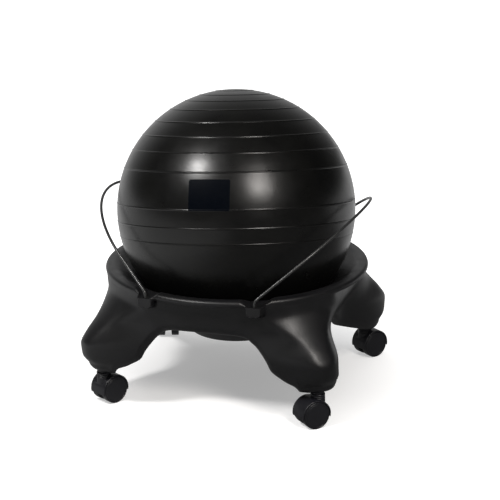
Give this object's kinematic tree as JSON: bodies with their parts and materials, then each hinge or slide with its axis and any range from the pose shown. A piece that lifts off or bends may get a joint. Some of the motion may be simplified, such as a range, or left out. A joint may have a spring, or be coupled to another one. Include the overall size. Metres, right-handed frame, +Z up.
{
  "type": "balance ball chair",
  "caption": "Backless office ball chair: inflated ball in a moulded four-legged base on twin-wheel casters, with a wire hoop on each side.",
  "frame": {"origin": "on the floor under the middle of the chair, bottom centre of the bounding box", "axes": "+Z up, front of the chair towards -Y, +X to the right seen from the front"},
  "size_m": [0.5664, 0.5534, 0.6299],
  "materials": {
    "base_plastic": "satin moulded black plastic with a fine grain",
    "ball_vinyl": "satin black anti-slip vinyl with raised rings",
    "plug_plastic": "matte black plastic",
    "hoop_wire": "semi-gloss black coating on round steel wire",
    "caster_nylon": "satin black nylon",
    "bare_steel": "plain zinc-plated steel"
  },
  "bodies": {
    "base": {"base_shell": "base_plastic", "caster_front_right_socket": "caster_nylon", "caster_front_right_stem": "bare_steel", "caster_front_left_socket": "caster_nylon", "caster_front_left_stem": "bare_steel", "caster_rear_right_socket": "caster_nylon", "caster_rear_right_stem": "bare_steel", "caster_rear_left_socket": "caster_nylon", "caster_rear_left_stem": "bare_steel"},
    "ball": {"ball": "ball_vinyl"},
    "valve_plug": {"valve_plug": "plug_plastic"},
    "hoop_right": {"side_hoop_right": "hoop_wire"},
    "hoop_left": {"side_hoop_left": "hoop_wire"},
    "swivel_front_right": {"caster_front_right_hood": "caster_nylon", "caster_front_right_axle": "bare_steel"},
    "wheel_front_right_a": {"caster_front_right_wheel_a": "caster_nylon"},
    "wheel_front_right_b": {"caster_front_right_wheel_b": "caster_nylon"},
    "swivel_front_left": {"caster_front_left_hood": "caster_nylon", "caster_front_left_axle": "bare_steel"},
    "wheel_front_left_a": {"caster_front_left_wheel_a": "caster_nylon"},
    "wheel_front_left_b": {"caster_front_left_wheel_b": "caster_nylon"},
    "swivel_rear_right": {"caster_rear_right_hood": "caster_nylon", "caster_rear_right_axle": "bare_steel"},
    "wheel_rear_right_a": {"caster_rear_right_wheel_a": "caster_nylon"},
    "wheel_rear_right_b": {"caster_rear_right_wheel_b": "caster_nylon"},
    "swivel_rear_left": {"caster_rear_left_hood": "caster_nylon", "caster_rear_left_axle": "bare_steel"},
    "wheel_rear_left_a": {"caster_rear_left_wheel_a": "caster_nylon"},
    "wheel_rear_left_b": {"caster_rear_left_wheel_b": "caster_nylon"}
  },
  "joints": [
    {"name": "ball_lift", "type": "slide", "parent": "base", "child": "ball", "axis": [0, 0, 1], "range_m": [0, 0.15]},
    {"name": "plug_pull", "type": "slide", "parent": "ball", "child": "valve_plug", "axis": [0.0631, -0.1909, -0.9796], "range_m": [0, 0.02]},
    {"name": "hoop_right_lift", "type": "slide", "parent": "base", "child": "hoop_right", "axis": [0, 0, 1], "range_m": [0, 0.036]},
    {"name": "hoop_left_lift", "type": "slide", "parent": "base", "child": "hoop_left", "axis": [0, 0, 1], "range_m": [0, 0.036]},
    {"name": "swivel_front_right", "type": "hinge", "parent": "base", "child": "swivel_front_right", "pos_m": [0.23, -0.203, 0.07], "axis": [0, 0, 1], "continuous": true},
    {"name": "roll_front_right_a", "type": "hinge", "parent": "swivel_front_right", "child": "wheel_front_right_a", "pos_m": [0.23077, -0.22395, 0.0285], "axis": [0.6947, -0.7193, 0], "continuous": true},
    {"name": "roll_front_right_b", "type": "hinge", "parent": "swivel_front_right", "child": "wheel_front_right_b", "pos_m": [0.20909, -0.2015, 0.0285], "axis": [0.6947, -0.7193, 0], "continuous": true},
    {"name": "swivel_front_left", "type": "hinge", "parent": "base", "child": "swivel_front_left", "pos_m": [-0.23, -0.203, 0.07], "axis": [0, 0, 1], "continuous": true},
    {"name": "roll_front_left_a", "type": "hinge", "parent": "swivel_front_left", "child": "wheel_front_left_a", "pos_m": [-0.23581, -0.18286, 0.0285], "axis": [-0.848, 0.5299, 0], "continuous": true},
    {"name": "roll_front_left_b", "type": "hinge", "parent": "swivel_front_left", "child": "wheel_front_left_b", "pos_m": [-0.20935, -0.19939, 0.0285], "axis": [-0.848, 0.5299, 0], "continuous": true},
    {"name": "swivel_rear_right", "type": "hinge", "parent": "base", "child": "swivel_rear_right", "pos_m": [0.23, 0.203, 0.07], "axis": [0, 0, 1], "continuous": true},
    {"name": "roll_rear_right_a", "type": "hinge", "parent": "swivel_rear_right", "child": "wheel_rear_right_a", "pos_m": [0.22633, 0.22364, 0.0285], "axis": [-0.788, 0.6157, 0], "continuous": true},
    {"name": "roll_rear_right_b", "type": "hinge", "parent": "swivel_rear_right", "child": "wheel_rear_right_b", "pos_m": [0.25091, 0.20443, 0.0285], "axis": [-0.788, 0.6157, 0], "continuous": true},
    {"name": "swivel_rear_left", "type": "hinge", "parent": "base", "child": "swivel_rear_left", "pos_m": [-0.23, 0.203, 0.07], "axis": [0, 0, 1], "continuous": true},
    {"name": "roll_rear_left_a", "type": "hinge", "parent": "swivel_rear_left", "child": "wheel_rear_left_a", "pos_m": [-0.24901, 0.21183, 0.0285], "axis": [-0.9563, -0.2924, 0], "continuous": true},
    {"name": "roll_rear_left_b", "type": "hinge", "parent": "swivel_rear_left", "child": "wheel_rear_left_b", "pos_m": [-0.21918, 0.22095, 0.0285], "axis": [-0.9563, -0.2924, 0], "continuous": true}
  ]
}
